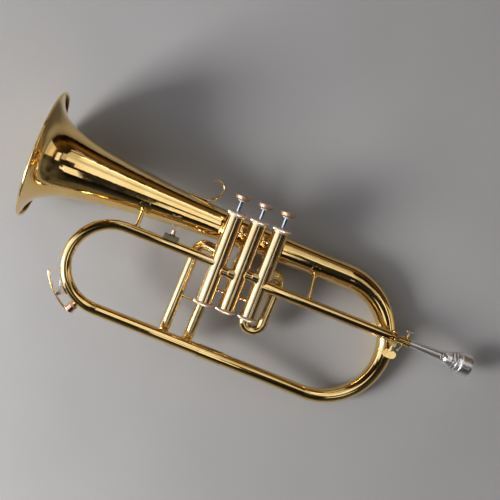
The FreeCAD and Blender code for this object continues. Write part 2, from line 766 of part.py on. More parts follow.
def lyre_box():
    length = LYRE_X[1] - LYRE_X[0]
    box = Part.makeBox(length, LYRE_TOP - LYRE_LOW, 9.6, V(LYRE_X[0], LYRE_LOW, BRANCH_Z - 4.8))
    slot = Part.makeBox(length + 2, 2.6, 6.6, V(LYRE_X[0] - 1, LYRE_LOW + 1.6, BRANCH_Z - 3.3))
    hole = rod(V(LYRE_SCREW_X, LYRE_LOW + 2, BRANCH_Z), V(LYRE_SCREW_X, LYRE_TOP + 4, BRANCH_Z), 1.45)
    boss = rod(V(LYRE_SCREW_X, LYRE_TOP - 0.5, BRANCH_Z), V(LYRE_SCREW_X, LYRE_TOP + 1.6, BRANCH_Z), 3.2)
    pipe = rod(V(-110, BRANCH_Y, BRANCH_Z), V(-70, BRANCH_Y, BRANCH_Z), BRANCH_R)
    return join([box, boss]).cut(slot).cut(hole).cut(pipe)


def wing(centre, axis, spread, height, span, thickness):
    """A thumb piece: two upturned wings on a screw."""
    side = unit(spread)
    up = unit(axis)
    corners = [
        centre - side * 1.6, centre + side * 1.6, centre + side * span + up * (height - 1.5),
        centre + side * (span + 0.4) + up * (height + 0.6), centre + side * (span - 2.4) + up * height,
        centre + up * (height * 0.42), centre - side * (span - 2.4) + up * height,
        centre - side * (span + 0.4) + up * (height + 0.6), centre - side * span + up * (height - 1.5)]
    face = Part.Face(Part.makePolygon(corners + [corners[0]]))
    normal = up.cross(side)
    blank = face.extrude(normal * thickness)
    blank.translate(normal * (-thickness / 2))
    return blank


def lyre_screw():
    tip = V(LYRE_SCREW_X, LYRE_LOW + 1.8, BRANCH_Z)
    neck = V(LYRE_SCREW_X, LYRE_TOP + 2.2, BRANCH_Z)
    shaft = rod(tip, neck, 1.4)
    collar = rod(neck - V(0, 0.4, 0), neck + V(0, 4.2, 0), 2.4)
    wings = wing(neck + V(0, 3.4, 0), V(0, 1, 0), V(1, 0, 0), 6.6, 5.2, 1.8)
    return join([shaft, collar, wings])


# ---- leadpipe, tuning shank and mouthpiece ----------------------------------------------------------
def lead_point(x):
    return V(x, LEAD_Y, BRANCH_Z)


def leadpipe():
    start = lead_point(valve_x(1))
    socket_end = lead_point(40.5)
    shell = cone(start, lead_point(LEAD_END_X), LEAD_R[0], LEAD_R[1])
    socket = rod(start, socket_end, LEAD_R[0] + 0.5)
    ring = rod(socket_end, socket_end + V(1.4, 0, 0), LEAD_R[0] + 0.8)
    solid = join([shell, socket, ring])
    solid = solid.cut(rod(start, lead_point(SHANK_START_X - 2), BORE_R))
    solid = solid.cut(rod(lead_point(SHANK_START_X - 2), lead_point(LEAD_END_X), SHANK_BORE))
    return to_casing(solid, 1)


def clamp_collar():
    """Split ring at the end of the leadpipe, with two lugs that the screw draws together."""
    low_x, high_x = COLLAR_X
    ring = rod(lead_point(low_x), lead_point(high_x), COLLAR_R)
    lug = Part.makeBox(high_x - low_x, 12.5, 14.0, V(low_x, LEAD_Y - 8.0, BRANCH_Z))
    solid = join([ring, lug])
    solid = solid.cut(Part.makeBox(20, 1.4, 20, V(low_x - 5, LEAD_Y - 0.7, BRANCH_Z)))
    solid = solid.cut(rod(lead_point(low_x - 1), lead_point(high_x + 1), LEAD_R[1] + 0.06))
    hole_start = clamp_point(LEAD_Y - 12)
    return solid.cut(rod(hole_start, clamp_point(LEAD_Y + 12), CLAMP_SCREW_R + 0.05))


def clamp_point(y):
    return V((COLLAR_X[0] + COLLAR_X[1]) / 2, y, CLAMP_Z)


def clamp_screw():
    """Thumbscrew with a flat two-lobed plate for the fingers."""
    shaft = rod(clamp_point(LEAD_Y + 4.0), clamp_point(-58.0), CLAMP_SCREW_R)
    collar = rod(clamp_point(LEAD_Y - 8.2), clamp_point(-58.5), 2.7)
    x = clamp_point(0).x
    lobes = []
    for side in (-1, 1):
        centre = V(x + side * 4.0, -62.6, CLAMP_Z - 0.9)
        lobes.append(Part.makeCylinder(4.6, 1.8, centre, V(0, 0, 1)))
    waist = Part.makeBox(8.0, 10.0, 1.8, V(x - 4.0, -67.6, CLAMP_Z - 0.9))
    return join([shaft, collar, waist] + lobes)


def tuning_shank():
    """Sliding mouthpipe shank; its outer end is the tapered mouthpiece receiver."""
    start = lead_point(SHANK_START_X)
    end = lead_point(RECEIVER_X)
    pieces = [rod(start, end, SHANK_R)]
    for low, high, radius in ((212.3, 215.7, 5.5), (218.6, RECEIVER_X, 5.7)):
        pieces.append(rod(lead_point(low), lead_point(high), radius))
    pieces.append(rod(lead_point(SET_SCREW_X), lead_point(SET_SCREW_X) + V(0, 8.2, 0), 2.3))
    solid = join(pieces)
    throat = lead_point(RECEIVER_X - TAPER_LENGTH)
    solid = solid.cut(rod(start, throat, TAPER_R[1]))
    solid = solid.cut(cone(throat, end, TAPER_R[1], TAPER_R[0]))
    return solid.cut(rod(lead_point(SET_SCREW_X), lead_point(SET_SCREW_X) + V(0, 9, 0), 1.15))


def receiver_screw():
    """Small thumbscrew that grips the mouthpiece in its receiver."""
    foot = lead_point(SET_SCREW_X) + V(0, 4.6, 0)
    shaft = rod(foot, foot + V(0, 7.6, 0), 1.1)
    head = rod(foot + V(0, 3.9, 0), foot + V(0, 6.0, 0), 1.9)
    bar_centre = foot + V(0, 8.0, 0)
    bar = rod(bar_centre - V(3.4, 0, 0), bar_centre + V(3.4, 0, 0), 1.2)
    knobs = [Part.makeSphere(1.5, bar_centre + V(side * 3.2, 0, 0)) for side in (-1, 1)]
    return join([shaft, head, bar] + knobs)


def receiver_pin():
    """Ball-ended pin on the under side of the receiver, used to draw the shank out."""
    root = lead_point(214.4) + V(0, -4.2, 1.2)
    tip = lead_point(210.6) + V(0, -12.4, 2.4)
    pin = rod(root, tip, 0.9)
    solid = join([pin, Part.makeSphere(1.5, tip)])
    return solid.cut(rod(lead_point(205), lead_point(223), 5.5))


def mouthpiece():
    outline = [
        (200.4, 3.88), (RECEIVER_X, 4.20), (262.6, 5.7), (263.0, 5.3), (263.4, 4.7), (264.2, 4.7),
        (264.6, 5.5), (265.4, 5.7), (265.8, 5.2), (266.2, 4.7), (267.0, 4.7), (267.4, 5.6),
        (268.4, 6.5), (270.4, 7.6), (273.2, 8.5), (275.6, 9.2), (275.9, 8.6), (276.4, 8.6),
        (276.7, 9.6), (278.6, 10.4), (279.0, 9.4), (280.4, 9.7), (280.8, 11.2), (281.8, 11.8),
        (282.2, 10.8), (283.6, 11.1), (284.0, 12.2), (286.4, 12.9), (287.0, 13.7), (288.4, 14.2),
        (298.2, 14.6), (300.6, 14.2),
        (301.8, 12.9), (302.1, 11.2), (301.4, 9.2), (298.8, 8.3), (292.0, 7.2), (284.0, 4.6),
        (277.0, 2.3), (272.0, 1.75), (262.0, 2.0), (200.4, 3.3)]
    return lathe(outline, V(0, LEAD_Y, BRANCH_Z), V(1, 0, 0))


# ---- water key ------------------------------------------------------------------------------------
def around_bow(radius, angle, z=0.0):
    turn = math.radians(angle)
    return left_bow_centre() + V(math.cos(turn) * radius, math.sin(turn) * radius, z)


def arc_strap(radius, thickness, width, start, end, edge=0):
    """A strap bent concentric with the left bow."""
    corners = [
        around_bow(radius + out, start, up)
        for out, up in strap_section(thickness / 2, width / 2, edge)]
    face = Part.Face(Part.makePolygon(corners + [corners[0]]))
    return face.revolve(left_bow_centre(), V(0, 0, 1), end - start)


def water_key_saddle():
    """Foot on the bow with two ears for the pivot pin."""
    foot = arc_strap(59.2, 3.0, 8.4, PIVOT_ANGLE - 5.0, PIVOT_ANGLE + 5.0)
    pieces = [foot]
    for side in (-1, 1):
        start = around_bow(PIVOT_RADIUS, PIVOT_ANGLE, side * 3.5 - 0.8)
        pieces.append(Part.makeCylinder(2.3, 1.6, start, V(0, 0, 1)))
        ear = arc_strap(62.6, 7.4, 1.6, PIVOT_ANGLE - 2.1, PIVOT_ANGLE + 2.1)
        ear.translate(V(0, 0, side * 3.5))
        pieces.append(ear)
    solid = join(pieces)
    middle = around_bow(LEFT_BOW_R, PIVOT_ANGLE)
    heading = V(-math.sin(math.radians(PIVOT_ANGLE)), math.cos(math.radians(PIVOT_ANGLE)), 0)
    solid = solid.cut(rod(middle - heading * 20, middle + heading * 20, 6.95))
    hole = rod(around_bow(PIVOT_RADIUS, PIVOT_ANGLE, -8), around_bow(PIVOT_RADIUS, PIVOT_ANGLE, 8), 1.0)
    return solid.cut(hole)


def water_key_pin():
    """Pivot screw: slotted head at the upper ear."""
    low = around_bow(PIVOT_RADIUS, PIVOT_ANGLE, -4.6)
    high = around_bow(PIVOT_RADIUS, PIVOT_ANGLE, 4.4)
    head = rod(high, high + V(0, 0, 1.2), 1.9)
    slot = Part.makeBox(5, 0.5, 0.6, high + V(-2.5, -0.25, 0.7))
    return join([rod(low, high, 1.0), head]).cut(slot)


def water_key_lever():
    strap = arc_strap(KEY_RADIUS, 2.1, 4.4, THUMB_ANGLE, PAD_ANGLE, KEY_EDGE)
    thumb = arc_strap(KEY_RADIUS, 2.3, 8.0, THUMB_ANGLE - 1.5, THUMB_ANGLE + 7.0, KEY_EDGE)
    hub = Part.makeCylinder(2.4, 4.8, around_bow(PIVOT_RADIUS, PIVOT_ANGLE, -2.4), V(0, 0, 1))
    cup = rod(around_bow(61.0, PAD_ANGLE), around_bow(68.4, PAD_ANGLE), 5.6)
    cup = cup.cut(rod(around_bow(60.0, PAD_ANGLE), around_bow(CORK_TOP, PAD_ANGLE), 4.95))
    stub = cone(around_bow(68.1, PAD_ANGLE), around_bow(70.1, PAD_ANGLE), 5.2, 3.0)
    web = arc_strap(67.9, 3.0, 4.0, PIVOT_ANGLE - 1.7, PIVOT_ANGLE + 1.7)
    solid = join([strap, thumb, hub, web, cup, stub])
    axis_low = around_bow(PIVOT_RADIUS, PIVOT_ANGLE, -8)
    return solid.cut(rod(axis_low, around_bow(PIVOT_RADIUS, PIVOT_ANGLE, 8), 1.05))


def water_key_cork():
    return rod(around_bow(59.8, PAD_ANGLE), around_bow(CORK_TOP, PAD_ANGLE), 4.9)


def water_key_nipple():
    """Short drain tube that the cork closes."""
    start = around_bow(52.0, PAD_ANGLE)
    drain = tube(start, around_bow(59.6, PAD_ANGLE), 3.6, 1.6)
    middle = around_bow(LEFT_BOW_R, PAD_ANGLE)
    heading = V(-math.sin(math.radians(PAD_ANGLE)), math.cos(math.radians(PAD_ANGLE)), 0)
    trimmed = drain.cut(rod(middle - heading * 20, middle + heading * 20, 7.0))
    return max(trimmed.Solids, key=lambda piece: piece.Volume)


def water_key_spring():
    """Wire spring that rests on the bow and presses the lever's thumb side outwards."""
    points = [
        around_bow(58.9, PIVOT_ANGLE - 12.0), around_bow(60.6, PIVOT_ANGLE - 6.4),
        around_bow(65.5, PIVOT_ANGLE - 4.0), around_bow(67.7, PIVOT_ANGLE - 11.0)]
    return routed_tube(points, 0.9, 0.35, 0)


# ---- placement and output -------------------------------------------------------------------------
def attitude():
    roll = FreeCAD.Rotation(V(1, 0, 0), ROLL)
    pitch = FreeCAD.Rotation(V(0, 1, 0), PITCH)
    return FreeCAD.Placement(ORIGIN_SHIFT, pitch.multiply(roll))


def all_parts():
    parts = {
        "bell": bell(),
        "bell_bow": bell_bow(),
        "bottom_branch": bottom_branch(),
        "bottom_branch_sleeve": bottom_branch_sleeve(),
        "water_key_bow": water_key_bow(),
        "upper_branch": upper_branch(),
        "third_valve_ferrule": third_valve_ferrule(),
        "knuckle_3_2": knuckle(3, 2, OUT_Y[2]),
        "knuckle_2_1": knuckle(2, 1, OUT_Y[1]),
        "casing_spools": casing_spools(),
        "bell_saddles": bell_saddles(),
        "first_slide_outer_legs": slide_outer(1),
        "first_slide_inner_legs": slide_inner(1),
        "first_slide_bow": slide_bow(1),
        "second_slide_outer_legs": second_slide_outer(),
        "second_slide_inner_legs": second_slide_inner(),
        "second_slide_bow": second_slide_bow(),
        "third_slide_outer_legs": slide_outer(3),
        "third_slide_inner_legs": slide_inner(3),
        "third_slide_bow": slide_bow(3),
        "third_slide_brace": slide_brace(),
        "bell_to_branch_brace": bell_to_branch_brace(),
        "bell_to_leadpipe_brace": bell_to_leadpipe_brace(),
        "finger_hook": finger_hook(),
        "lyre_box": lyre_box(),
        "lyre_screw": lyre_screw(),
        "leadpipe": leadpipe(),
        "clamp_collar": clamp_collar(),
        "clamp_screw": clamp_screw(),
        "tuning_shank": tuning_shank(),
        "receiver_screw": receiver_screw(),
        "receiver_pin": receiver_pin(),
        "mouthpiece": mouthpiece(),
        "water_key_saddle": water_key_saddle(),
        "water_key_pin": water_key_pin(),
        "water_key_lever": water_key_lever(),
        "water_key_cork": water_key_cork(),
        "water_key_nipple": water_key_nipple(),
        "water_key_spring": water_key_spring(),
    }
    makers = {
        "valve_casing": valve_casing, "top_cap": top_cap,
        "piston": piston, "valve_stem": valve_stem, "finger_button": finger_button,
        "button_felt": button_felt}
    for name, maker in makers.items():
        for number in (1, 2, 3):
            parts[f"{name}_{number}"] = maker(number)
    parts["bottom_caps"] = group([bottom_cap(number) for number in (1, 2, 3)])
    parts["cap_felts"] = group([cap_felt(number) for number in (1, 2, 3)])
    parts["valve_springs"] = group([valve_spring(number) for number in (1, 2, 3)])
    return parts


BELL_FILLED = filled_bell()


def main():
    os.makedirs("parts", exist_ok=True)
    placement = attitude()
    for name, shape in all_parts().items():
        placed = shape.copy()
        placed.Placement = placement.multiply(placed.Placement)
        placed.exportStep(f"parts/{name}.step")
        print(name, len(placed.Solids), round(placed.Volume, 1), placed.isValid())


main()
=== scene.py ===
import json
import math

import bmesh
import bpy
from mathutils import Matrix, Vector


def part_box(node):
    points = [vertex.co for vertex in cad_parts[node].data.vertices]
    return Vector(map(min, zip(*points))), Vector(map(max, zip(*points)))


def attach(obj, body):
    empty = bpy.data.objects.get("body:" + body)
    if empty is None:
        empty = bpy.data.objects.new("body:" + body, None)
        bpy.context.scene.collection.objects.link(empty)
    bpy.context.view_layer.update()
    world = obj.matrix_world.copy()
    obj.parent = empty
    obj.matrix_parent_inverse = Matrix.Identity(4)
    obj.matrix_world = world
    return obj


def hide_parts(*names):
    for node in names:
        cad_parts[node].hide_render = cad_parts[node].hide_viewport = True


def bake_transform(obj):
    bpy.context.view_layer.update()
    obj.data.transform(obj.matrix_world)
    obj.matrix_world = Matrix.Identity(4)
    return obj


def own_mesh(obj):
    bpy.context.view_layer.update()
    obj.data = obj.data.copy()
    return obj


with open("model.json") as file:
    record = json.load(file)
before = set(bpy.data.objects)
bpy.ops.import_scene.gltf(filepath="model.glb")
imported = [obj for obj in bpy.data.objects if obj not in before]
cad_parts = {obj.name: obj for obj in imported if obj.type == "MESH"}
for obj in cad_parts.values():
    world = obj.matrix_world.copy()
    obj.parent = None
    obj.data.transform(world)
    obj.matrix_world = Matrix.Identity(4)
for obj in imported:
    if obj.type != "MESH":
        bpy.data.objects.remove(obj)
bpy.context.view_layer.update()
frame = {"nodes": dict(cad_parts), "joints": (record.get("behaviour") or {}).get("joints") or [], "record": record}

# ---- camera: almost straight down, with the horn slanting down to the right ---------------------
CAMERA_PLACE = (-0.0166, -0.0043, 0.9830)
CAMERA_TURN = (1.684, -0.860, 21.446)      # degrees about X, Y and Z
CAMERA_LENS = 56.95                        # mm, on a 36 mm wide sensor

# ---- studio -------------------------------------------------------------------------------------
FLOOR_RADIUS = 2.6
FLOOR_CORNERS = 96
FLOOR_LIGHT = (0.41, 0.41, 0.41)
FLOOR_DEEP = (0.38, 0.38, 0.378)
CEILING_HEIGHT = 1.6
WARM = (1.00, 0.99, 1.00)
COOL = (0.95, 1.00, 1.22)
CEILING_PANELS = (             # west, east, near and far edge of each soft panel, its glow and its tint
    (-3.60, -0.56, -1.35, -0.14, 1.05, COOL), (-0.54, -0.14, -1.30, -0.30, 0.36, WARM),
    (-3.60, -1.40, -0.12, 0.20, 0.85, COOL), (-0.16, 0.12, 0.40, 0.86, 0.55, WARM),
    (0.13, 0.62, -0.08, 0.58, 0.98, WARM), (0.62, 1.00, 0.26, 0.58, 0.85, WARM),
    (1.02, 1.34, 0.20, 0.90, 0.50, WARM), (-0.40, 0.18, 0.94, 1.50, 0.75, WARM),
    (0.20, 0.66, 0.90, 1.62, 0.95, WARM), (0.66, 1.10, 0.90, 1.62, 0.58, WARM),
    (0.13, 1.02, 0.58, 0.90, 0.62, WARM),
    (0.50, 1.20, 1.78, 1.96, 0.75, WARM), (0.80, 1.15, 2.18, 2.36, 0.55, WARM),
    (1.46, 2.00, -0.10, 0.80, 1.00, WARM),
    (0.98, 1.28, -0.88, -0.60, 0.90, WARM))
WALL_SCREENS = (               # place, the way it faces, width and height, glow and tint
    ((-2.60, -0.95, 0.80), (1, 0, 0), (4.5, 1.5), 1.00, (0.92, 0.98, 1.10)),
    ((2.60, 0.70, 0.75), (-1, 0, 0), (1.2, 1.5), 0.50, (1.05, 1.00, 0.86)),
    ((-0.75, 2.80, 1.10), (0, -1, 0), (1.5, 2.2), 0.42, (1.02, 1.00, 0.98)))
# The same five facts as a screen. The strip is a narrow bright line on the bell, the card fills in the
# casings from low down, and the key throws the shadow to the upper right.
STRIP = ((0.43, 1.40, 1.58), (0, 0, -1), (0.5, 0.12), 1.5, (1.0, 1.0, 0.98))
CARD = ((0.235, -0.30, 0.80), (0, 0, -1), (0.22, 0.32), 1.0, (1.0, 0.96, 0.92))
KEY = ((-1.35, -1.00, 0.95), (1.35, 1.00, -0.90), (0.7, 0.7), 27.0, (1.0, 0.97, 0.94))
WALL_FRONT = (              # height of a direction above the horizon, as its sine, and the colour there
    (0.00, (0.100, 0.095, 0.085)), (0.35, (0.085, 0.080, 0.074)), (0.62, (0.026, 0.028, 0.030)),
    (1.00, (0.020, 0.021, 0.022)))
WALL_BACK = (
    (0.00, (0.012, 0.006, 0.003)), (0.14, (0.022, 0.012, 0.006)), (0.30, (0.200, 0.120, 0.045)),
    (0.60, (0.060, 0.040, 0.022)), (1.00, (0.030, 0.024, 0.018)))
WALL_PATCHES = (0.35, 1.7)     # darkest and brightest share of the wall colour
BACKDROP = (0.20, 0.20, 0.198)
VIEW_LOOK = "Medium High Contrast"
EXPOSURE = -0.14

# ---- knurled caps, in mm from the lower end of each cap ------------------------------------------
MM = 0.001
KNURL_RIDGES = 64
KNURL_STEPS = 5                # mesh steps round one ridge
SHARP_FROM = 40                # degrees between faces
CAP_SPACING = 111.3            # from the lower end of the bottom caps to that of the top caps
TOP_CAP_RINGS = (              # height, radius, knurl depth
    (0.00, 9.66, 0), (0.00, 10.10, 0), (0.30, 10.38, 0), (1.10, 10.38, 0), (1.25, 10.15, 0),
    (1.55, 10.15, 0), (1.70, 10.38, 0), (1.95, 10.38, 0), (2.35, 10.95, 0.30), (2.70, 11.18, 0.42),
    (4.65, 11.18, 0.42), (4.95, 10.95, 0.30), (5.15, 10.55, 0), (5.22, 9.50, 0), (5.55, 8.85, 0),
    (5.68, 8.20, 0), (5.70, 6.20, 0), (5.45, 6.00, 0), (5.45, 5.40, 0), (5.70, 5.20, 0),
    (5.70, 3.90, 0), (5.20, 2.95, 0), (4.15, 2.95, 0), (4.12, 9.66, 0))
LOW_CAP_RINGS = (
    (5.70, 9.66, 0), (5.70, 10.48, 0), (5.15, 11.10, 0), (4.80, 11.58, 0.30), (3.90, 12.10, 0.45),
    (3.50, 12.18, 0.45), (2.75, 12.18, 0.45), (2.30, 11.90, 0.30), (1.60, 10.75, 0), (1.40, 10.10, 0),
    (1.00, 9.60, 0), (0.60, 8.48, 0), (0.15, 6.60, 0), (0.02, 5.95, 0), (0.02, 1.52, 0),
    (1.58, 1.52, 0), (1.58, 9.66, 0))

# ---- springs and straps, in metres --------------------------------------------------------------
SPRING_REACH = 0.012           # every spring is this close to the axis of its valve
STRAP_VOXEL = 0.00022
STRAP_SMOOTHING = 6

# ---- lacquer ------------------------------------------------------------------------------------
LACQUER_COAT = 0.30
LACQUER_COAT_ROUGHNESS = 0.06
CUP_REACH = 0.0095             # the metal this near the middle of the water key's cork is its copper cup
CUP_COPPER = (0.90, 0.60, 0.45)
CLEAN_FROM_X = 0.243           # the cup of the mouthpiece, which has few dark spots, starts here
SCRATCHES_PER_METRE = (160.0, 2600.0, 2600.0)
SCRATCH_DEPTH = 0.0000012
# rays for the sky-openness test that paints shade into joints and grooves
CREVICE_SAMPLES = 6


# ---- node helpers -------------------------------------------------------------------------------
class Shader:
    """A node material under construction. Its coordinates are metres in the object's frame."""

    def __init__(self, name):
        self.material = bpy.data.materials.new(name)
        self.material.use_nodes = True
        self.tree = self.material.node_tree
        self.bsdf = self.tree.nodes["Principled BSDF"]
        self.coordinates = self.tree.nodes.new("ShaderNodeTexCoord").outputs["Object"]

    def node(self, kind, **settings):
        made = self.tree.nodes.new(kind)
        for key, value in settings.items():
            setattr(made, key, value)
        return made

    def link(self, source, target):
        self.tree.links.new(source, target)

    def stretched(self, scale):
        mapping = self.node("ShaderNodeMapping")
        mapping.inputs["Scale"].default_value = scale
        self.link(self.coordinates, mapping.inputs["Vector"])
        return mapping.outputs["Vector"]

    def noise(self, per_metre, detail=4.0, roughness=0.55, vector=None):
        """Soft random texture, with about per_metre features to the metre."""
        made = self.node("ShaderNodeTexNoise")
        made.inputs["Scale"].default_value = per_metre
        made.inputs["Detail"].default_value = detail
        made.inputs["Roughness"].default_value = roughness
        self.link(vector or self.coordinates, made.inputs["Vector"])
        return made.outputs["Fac"]

    def nearness(self, point, reach):
        """1 at a point of the object, and 0 from that reach outwards."""
        made = self.node("ShaderNodeVectorMath", operation="DISTANCE")
        made.inputs[1].default_value = point
        self.link(self.coordinates, made.inputs[0])
        return self.steps(made.outputs["Value"], reach * 0.85, reach, 1.0, 0.0)

    def level(self, axis):
        """Place along an axis of the object's frame."""
        made = self.node("ShaderNodeSeparateXYZ")
        self.link(self.coordinates, made.inputs[0])
        return made.outputs[axis]

    def steps(self, source, low, high, start=0.0, end=1.0):
        """A smooth change from start to end, as source goes from low to high."""
        made = self.node("ShaderNodeMapRange", interpolation_type="SMOOTHSTEP")
        made.inputs["From Min"].default_value = low
        made.inputs["From Max"].default_value = high
        made.inputs["To Min"].default_value = start
        made.inputs["To Max"].default_value = end
        self.link(source, made.inputs["Value"])
        return made.outputs["Result"]

    def mix(self, amount, first, second):
        """One colour to the other, as amount goes from 0 to 1."""
        made = self.node("ShaderNodeMix", data_type="RGBA")
        sockets = {"A": made.inputs[6], "B": made.inputs[7]}
        for key, value in (("A", first), ("B", second)):
            if isinstance(value, tuple):
                sockets[key].default_value = (*value, 1.0)
            else:
                self.link(value, sockets[key])
        self.link(amount, made.inputs[0])
        return made.outputs[2]

    def maths(self, operation, first, second):
        made = self.node("ShaderNodeMath", operation=operation)
        for socket, value in zip(made.inputs, (first, second)):
            if isinstance(value, float):
                socket.default_value = value
            else:
                self.link(value, socket)
        return made.outputs["Value"]

    def crevices(self, reach):
        """Share of the sky that is open within reach: low in joints and grooves."""
        made = self.node("ShaderNodeAmbientOcclusion", samples=CREVICE_SAMPLES)
        made.inputs["Distance"].default_value = reach
        return made.outputs["AO"]

    def bump(self, height, depth, strength=1.0, under=None):
        made = self.node("ShaderNodeBump")
        made.inputs["Distance"].default_value = depth
        made.inputs["Strength"].default_value = strength
        self.link(height, made.inputs["Height"])
        if under is not None:
            self.link(under, made.inputs["Normal"])
        return made.outputs["Normal"]

    def finish(self, colour, roughness, normal, metallic=1.0):
        """Plug the textures into the shader, and give back the material."""
        self.bsdf.inputs["Metallic"].default_value = metallic
        self.link(colour, self.bsdf.inputs["Base Color"])
        self.link(roughness, self.bsdf.inputs["Roughness"])
        self.link(normal, self.bsdf.inputs["Normal"])
        return self.material


def polished_metal(name, light, deep, dirt_and_shade, shine, haze, waviness, coat=LACQUER_COAT, specks=0.70,
                   tinted=None):
    """Polished sheet metal: slow colour drift, smudges, pinhole specks, grime and painted shade in joints, slight
    waviness.

    Tinted is a point, a reach and the colour that the metal has there.
    """
    make = Shader(name)
    drift = make.noise(26.0, 3.0)
    smudge = make.noise(90.0, 5.0, 0.65)
    speck = make.noise(1500.0, 2.0)
    colour = make.mix(make.steps(drift, 0.35, 0.68), light, deep)
    if tinted is not None:
        point, reach, tint = tinted
        colour = make.mix(make.nearness(point, reach), colour, tint)
    speck_mask = make.steps(speck, specks, specks + 0.05)
    colour = make.mix(make.maths("MULTIPLY", speck_mask, 0.55), colour, dirt_and_shade)
    # Painted shade with grime: where little of the sky is open, in joints and grooves, the colour darkens in noisy
    # patches.
    joint = make.steps(make.crevices(0.004), 0.15, 0.62, 0.8, 0.0)
    grime_and_crevice_shade = make.maths("MULTIPLY", joint, make.steps(make.noise(420.0, 4.0), 0.30, 0.62))
    colour = make.mix(grime_and_crevice_shade, colour, dirt_and_shade)
    rough = make.steps(smudge, 0.40, 0.75, shine, shine + haze)
    rough = make.maths("ADD", rough, make.maths("MULTIPLY", speck_mask, 0.25))
    rough = make.maths("ADD", rough, make.maths("MULTIPLY", grime_and_crevice_shade, 0.28))
    waves = make.bump(make.noise(16.0, 1.0, 0.4), waviness)
    scratches = make.noise(1.0, 3.0, 0.6, make.stretched(SCRATCHES_PER_METRE))
    fine = make.bump(scratches, SCRATCH_DEPTH, 1.0, waves)
    make.bsdf.inputs["Coat Weight"].default_value = coat
    make.bsdf.inputs["Coat Roughness"].default_value = LACQUER_COAT_ROUGHNESS
    return make.finish(colour, rough, fine)


def dull_metal(name, light, deep, dirt_and_shade, shine, haze, patch, grain, clean=None, open_enough=0.72):
    """Handled metal: mottled tarnish, fine grain and painted shade in joints.

    Past clean, along X, it has few spots. Joints get painted shade where less of the sky is open than open_enough.
    """
    make = Shader(name)
    mottle = make.noise(patch, 6.0, 0.68)
    spots = make.noise(patch * 3.2, 3.0, 0.6)
    colour = make.mix(make.steps(mottle, 0.38, 0.64), light, deep)
    spot_mask = make.steps(spots, 0.60, 0.68)
    if clean is not None:
        worn = make.steps(make.level("X"), clean - 0.006, clean + 0.006, 1.0, 0.08)
        spot_mask = make.maths("MULTIPLY", spot_mask, worn)
    colour = make.mix(make.maths("MULTIPLY", spot_mask, 0.62), colour, dirt_and_shade)
    # Painted shade: joints and grooves, where less of the sky is open than open_enough, darken towards the dirt
    # colour.
    joint = make.steps(make.crevices(0.003), 0.20, open_enough, 0.85, 0.0)
    colour = make.mix(joint, colour, dirt_and_shade)
    rough = make.steps(mottle, 0.35, 0.70, shine, shine + haze)
    rough = make.maths("ADD", rough, make.maths("MULTIPLY", spot_mask, 0.16))
    normal = make.bump(spots, grain)
    fine = make.bump(make.noise(5200.0, 2.0), grain * 0.3, 1.0, normal)
    make.bsdf.inputs["Coat Weight"].default_value = 0.0
    return make.finish(colour, rough, fine)


def felt_material(name, light, deep):
    make = Shader(name)
    tufts = make.noise(1900.0, 5.0, 0.7)
    shade = make.noise(240.0, 3.0)
    colour = make.mix(make.steps(tufts, 0.3, 0.7), deep, light)
    colour = make.mix(make.steps(shade, 0.5, 0.8, 0.0, 0.35), colour, deep)
    rough = make.steps(tufts, 0.2, 0.8, 0.85, 1.0)
    normal = make.bump(tufts, 0.00035)
    make.bsdf.inputs["Sheen Weight"].default_value = 0.5
    make.bsdf.inputs["Sheen Roughness"].default_value = 0.5
    return make.finish(colour, rough, normal, 0.0)


def cork_material(name):
    make = Shader(name)
    grains = make.node("ShaderNodeTexVoronoi")
    grains.inputs["Scale"].default_value = 1400.0
    make.link(make.coordinates, grains.inputs["Vector"])
    cells = make.steps(grains.outputs["Distance"], 0.1, 0.7)
    pits = make.steps(make.noise(900.0, 4.0), 0.58, 0.66)
    colour = make.mix(cells, (0.50, 0.31, 0.16), (0.68, 0.47, 0.28))
    colour = make.mix(pits, colour, (0.16, 0.09, 0.05))
    rough = make.steps(cells, 0.0, 1.0, 0.75, 0.95)
    normal = make.bump(pits, 0.0002)
    return make.finish(colour, rough, normal, 0.0)


def cup_middle():
    """Centre of the water key's cork, inside its cup."""
    low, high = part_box("water_key_cork")
    return (low + high) / 2


